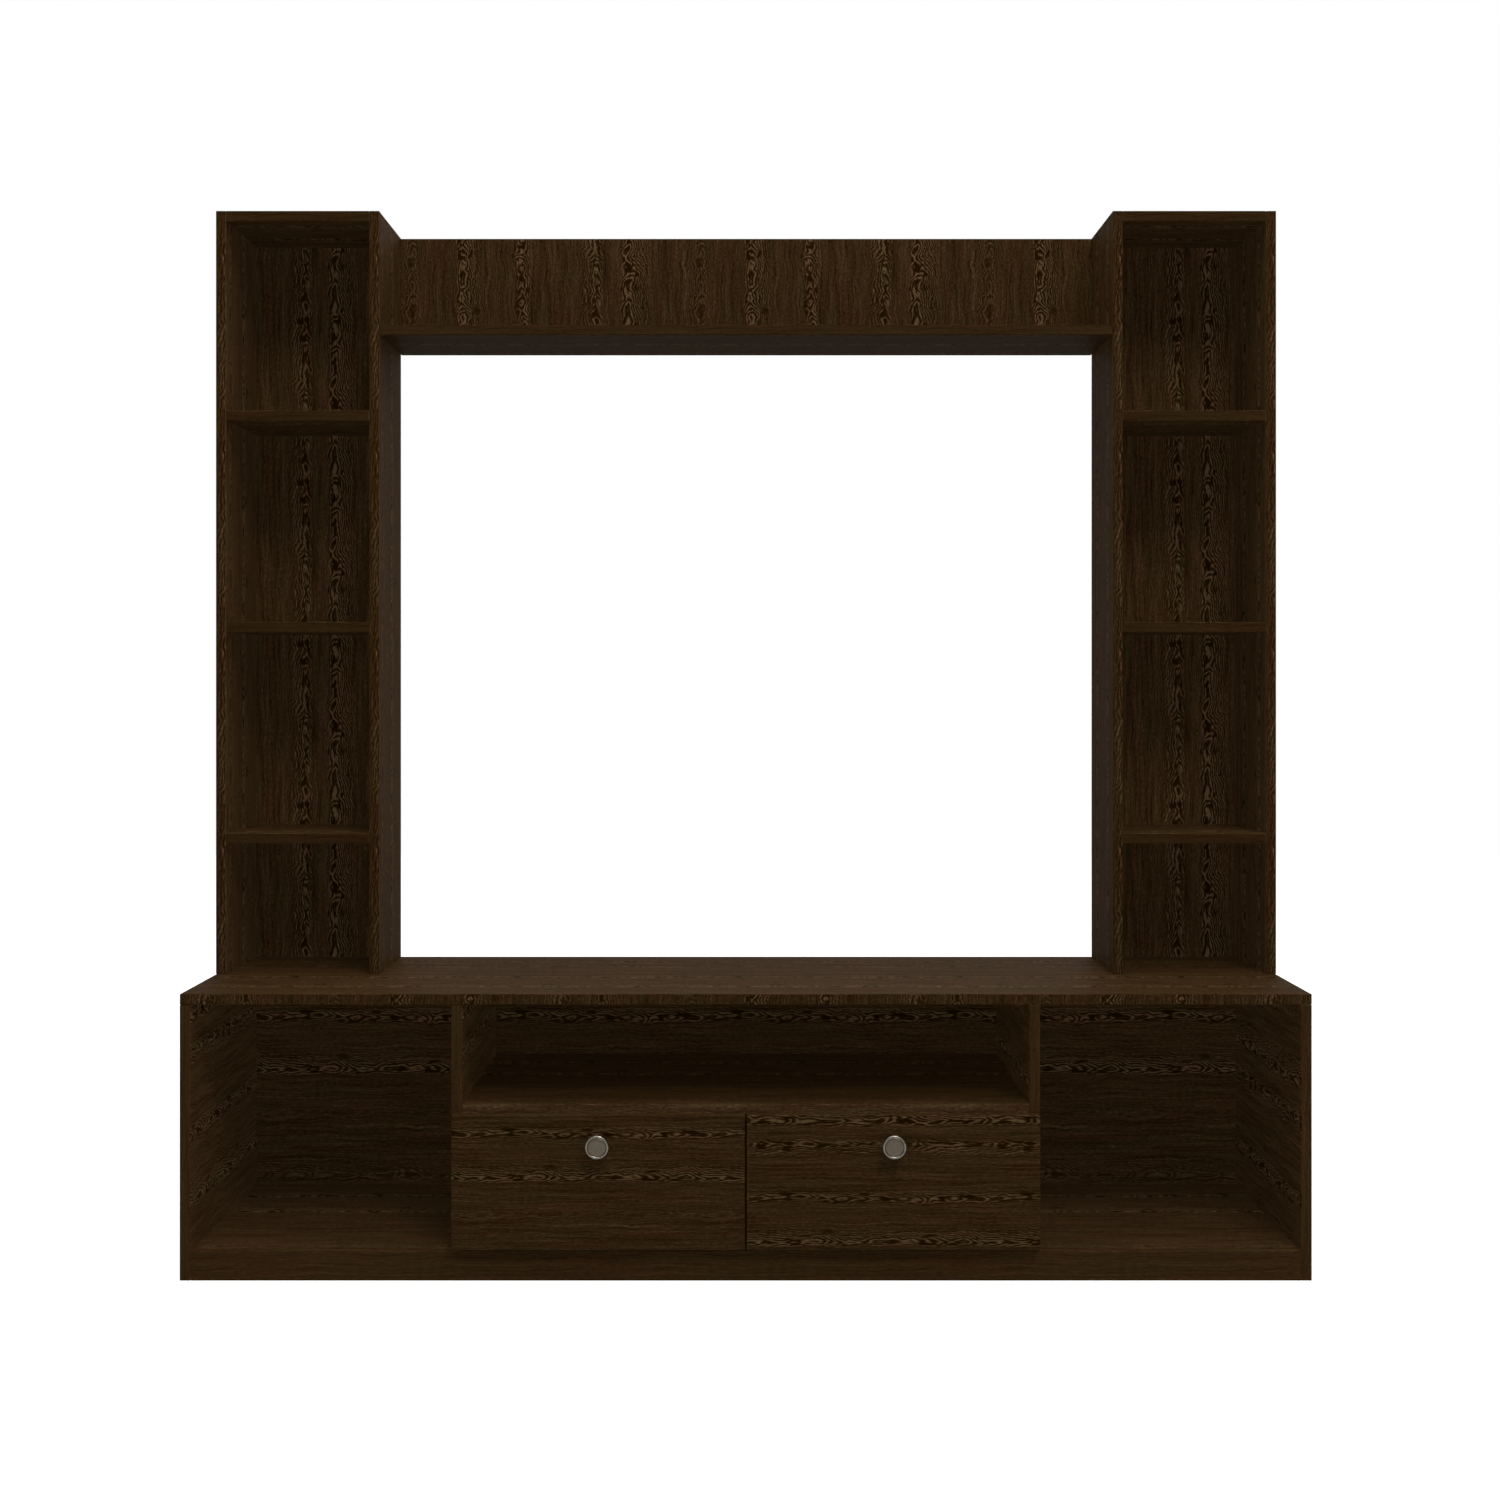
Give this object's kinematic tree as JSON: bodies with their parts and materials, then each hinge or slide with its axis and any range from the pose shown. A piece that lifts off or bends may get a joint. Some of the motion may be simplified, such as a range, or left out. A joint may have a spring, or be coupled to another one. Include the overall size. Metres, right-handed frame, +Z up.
{
  "type": "tv unit",
  "caption": "Dark wenge laminate tv unit: long low base with open bays, a niche and two knobbed drawers, two open shelf towers and a bridge shelf over the screen space.",
  "frame": {"origin": "on the floor, under the middle of the whole outline: knobs to rear face along Y, end to end along X", "axes": "+Z up, front faces -Y, +X to the right seen from the front"},
  "size_m": [1.6, 0.4402, 1.557],
  "materials": {
    "dark_wenge_laminate": "semi-gloss wenge laminate on particle board",
    "thin_wenge_board": "thin hardboard with a wenge print",
    "drawer_box_laminate": "plain matt laminate on particle board",
    "satin_nickel": "turned and satin nickel plated",
    "zinc_plated_steel": "bright zinc plated sheet steel",
    "cage_steel": "pressed steel cage with hardened balls"
  },
  "bodies": {
    "carcass": {"base_top": "dark_wenge_laminate", "base_side_left": "dark_wenge_laminate", "base_side_right": "dark_wenge_laminate", "base_bottom": "dark_wenge_laminate", "plinth_front": "dark_wenge_laminate", "plinth_back": "dark_wenge_laminate", "plinth_brace": "dark_wenge_laminate", "divider_left": "dark_wenge_laminate", "divider_right": "dark_wenge_laminate", "drawer_partition": "dark_wenge_laminate", "niche_shelf": "dark_wenge_laminate", "base_back": "thin_wenge_board", "tower_left_outer_side": "dark_wenge_laminate", "tower_left_inner_side": "dark_wenge_laminate", "tower_left_top": "dark_wenge_laminate", "tower_left_shelf_1": "dark_wenge_laminate", "tower_left_shelf_2": "dark_wenge_laminate", "tower_left_shelf_3": "dark_wenge_laminate", "tower_left_back": "thin_wenge_board", "tower_right_outer_side": "dark_wenge_laminate", "tower_right_inner_side": "dark_wenge_laminate", "tower_right_top": "dark_wenge_laminate", "tower_right_shelf_1": "dark_wenge_laminate", "tower_right_shelf_2": "dark_wenge_laminate", "tower_right_shelf_3": "dark_wenge_laminate", "tower_right_back": "thin_wenge_board", "bridge_shelf": "dark_wenge_laminate", "bridge_back": "dark_wenge_laminate", "left_outer_runner_cabinet_member": "zinc_plated_steel", "left_inner_runner_cabinet_member": "zinc_plated_steel", "right_outer_runner_cabinet_member": "zinc_plated_steel", "right_inner_runner_cabinet_member": "zinc_plated_steel"},
    "drawer_left": {"drawer_left_front": "dark_wenge_laminate", "drawer_left_wall_outer": "drawer_box_laminate", "drawer_left_wall_inner": "drawer_box_laminate", "drawer_left_back": "drawer_box_laminate", "drawer_left_bottom": "thin_wenge_board", "drawer_left_knob": "satin_nickel", "left_outer_runner_drawer_member": "zinc_plated_steel", "left_inner_runner_drawer_member": "zinc_plated_steel"},
    "drawer_right": {"drawer_right_front": "dark_wenge_laminate", "drawer_right_wall_outer": "drawer_box_laminate", "drawer_right_wall_inner": "drawer_box_laminate", "drawer_right_back": "drawer_box_laminate", "drawer_right_bottom": "thin_wenge_board", "drawer_right_knob": "satin_nickel", "right_outer_runner_drawer_member": "zinc_plated_steel", "right_inner_runner_drawer_member": "zinc_plated_steel"},
    "left_outer_middle": {"left_outer_runner_middle_member": "zinc_plated_steel"},
    "left_inner_middle": {"left_inner_runner_middle_member": "zinc_plated_steel"},
    "right_outer_middle": {"right_outer_runner_middle_member": "zinc_plated_steel"},
    "right_inner_middle": {"right_inner_runner_middle_member": "zinc_plated_steel"},
    "left_outer_cabinet_cage": {"left_outer_runner_cabinet_cage": "cage_steel"},
    "left_inner_cabinet_cage": {"left_inner_runner_cabinet_cage": "cage_steel"},
    "right_outer_cabinet_cage": {"right_outer_runner_cabinet_cage": "cage_steel"},
    "right_inner_cabinet_cage": {"right_inner_runner_cabinet_cage": "cage_steel"},
    "left_outer_drawer_cage": {"left_outer_runner_drawer_cage": "cage_steel"},
    "left_inner_drawer_cage": {"left_inner_runner_drawer_cage": "cage_steel"},
    "right_outer_drawer_cage": {"right_outer_runner_drawer_cage": "cage_steel"},
    "right_inner_drawer_cage": {"right_inner_runner_drawer_cage": "cage_steel"}
  },
  "joints": [
    {"name": "drawer_left_slide", "type": "slide", "parent": "carcass", "child": "drawer_left", "axis": [0, -1, 0], "range_m": [0, 0.35]},
    {"name": "drawer_right_slide", "type": "slide", "parent": "carcass", "child": "drawer_right", "axis": [0, -1, 0], "range_m": [0, 0.35]},
    {"name": "left_outer_middle_slide", "type": "slide", "parent": "carcass", "child": "left_outer_middle", "axis": [0, -1, 0], "range_m": [0, 0.175]},
    {"name": "left_inner_middle_slide", "type": "slide", "parent": "carcass", "child": "left_inner_middle", "axis": [0, -1, 0], "range_m": [0, 0.175]},
    {"name": "right_outer_middle_slide", "type": "slide", "parent": "carcass", "child": "right_outer_middle", "axis": [0, -1, 0], "range_m": [0, 0.175]},
    {"name": "right_inner_middle_slide", "type": "slide", "parent": "carcass", "child": "right_inner_middle", "axis": [0, -1, 0], "range_m": [0, 0.175]},
    {"name": "left_outer_cabinet_cage_slide", "type": "slide", "parent": "carcass", "child": "left_outer_cabinet_cage", "axis": [0, -1, 0], "range_m": [0, 0.0875]},
    {"name": "left_inner_cabinet_cage_slide", "type": "slide", "parent": "carcass", "child": "left_inner_cabinet_cage", "axis": [0, -1, 0], "range_m": [0, 0.0875]},
    {"name": "right_outer_cabinet_cage_slide", "type": "slide", "parent": "carcass", "child": "right_outer_cabinet_cage", "axis": [0, -1, 0], "range_m": [0, 0.0875]},
    {"name": "right_inner_cabinet_cage_slide", "type": "slide", "parent": "carcass", "child": "right_inner_cabinet_cage", "axis": [0, -1, 0], "range_m": [0, 0.0875]},
    {"name": "left_outer_drawer_cage_slide", "type": "slide", "parent": "carcass", "child": "left_outer_drawer_cage", "axis": [0, -1, 0], "range_m": [0, 0.2625]},
    {"name": "left_inner_drawer_cage_slide", "type": "slide", "parent": "carcass", "child": "left_inner_drawer_cage", "axis": [0, -1, 0], "range_m": [0, 0.2625]},
    {"name": "right_outer_drawer_cage_slide", "type": "slide", "parent": "carcass", "child": "right_outer_drawer_cage", "axis": [0, -1, 0], "range_m": [0, 0.2625]},
    {"name": "right_inner_drawer_cage_slide", "type": "slide", "parent": "carcass", "child": "right_inner_drawer_cage", "axis": [0, -1, 0], "range_m": [0, 0.2625]}
  ],
  "couplings": [
    {"joint": "left_outer_middle_slide", "follows": "drawer_left_slide", "ratio": 0.5},
    {"joint": "left_inner_middle_slide", "follows": "drawer_left_slide", "ratio": 0.5},
    {"joint": "right_outer_middle_slide", "follows": "drawer_right_slide", "ratio": 0.5},
    {"joint": "right_inner_middle_slide", "follows": "drawer_right_slide", "ratio": 0.5},
    {"joint": "left_outer_cabinet_cage_slide", "follows": "drawer_left_slide", "ratio": 0.25},
    {"joint": "left_inner_cabinet_cage_slide", "follows": "drawer_left_slide", "ratio": 0.25},
    {"joint": "right_outer_cabinet_cage_slide", "follows": "drawer_right_slide", "ratio": 0.25},
    {"joint": "right_inner_cabinet_cage_slide", "follows": "drawer_right_slide", "ratio": 0.25},
    {"joint": "left_outer_drawer_cage_slide", "follows": "drawer_left_slide", "ratio": 0.75},
    {"joint": "left_inner_drawer_cage_slide", "follows": "drawer_left_slide", "ratio": 0.75},
    {"joint": "right_outer_drawer_cage_slide", "follows": "drawer_right_slide", "ratio": 0.75},
    {"joint": "right_inner_drawer_cage_slide", "follows": "drawer_right_slide", "ratio": 0.75}
  ]
}
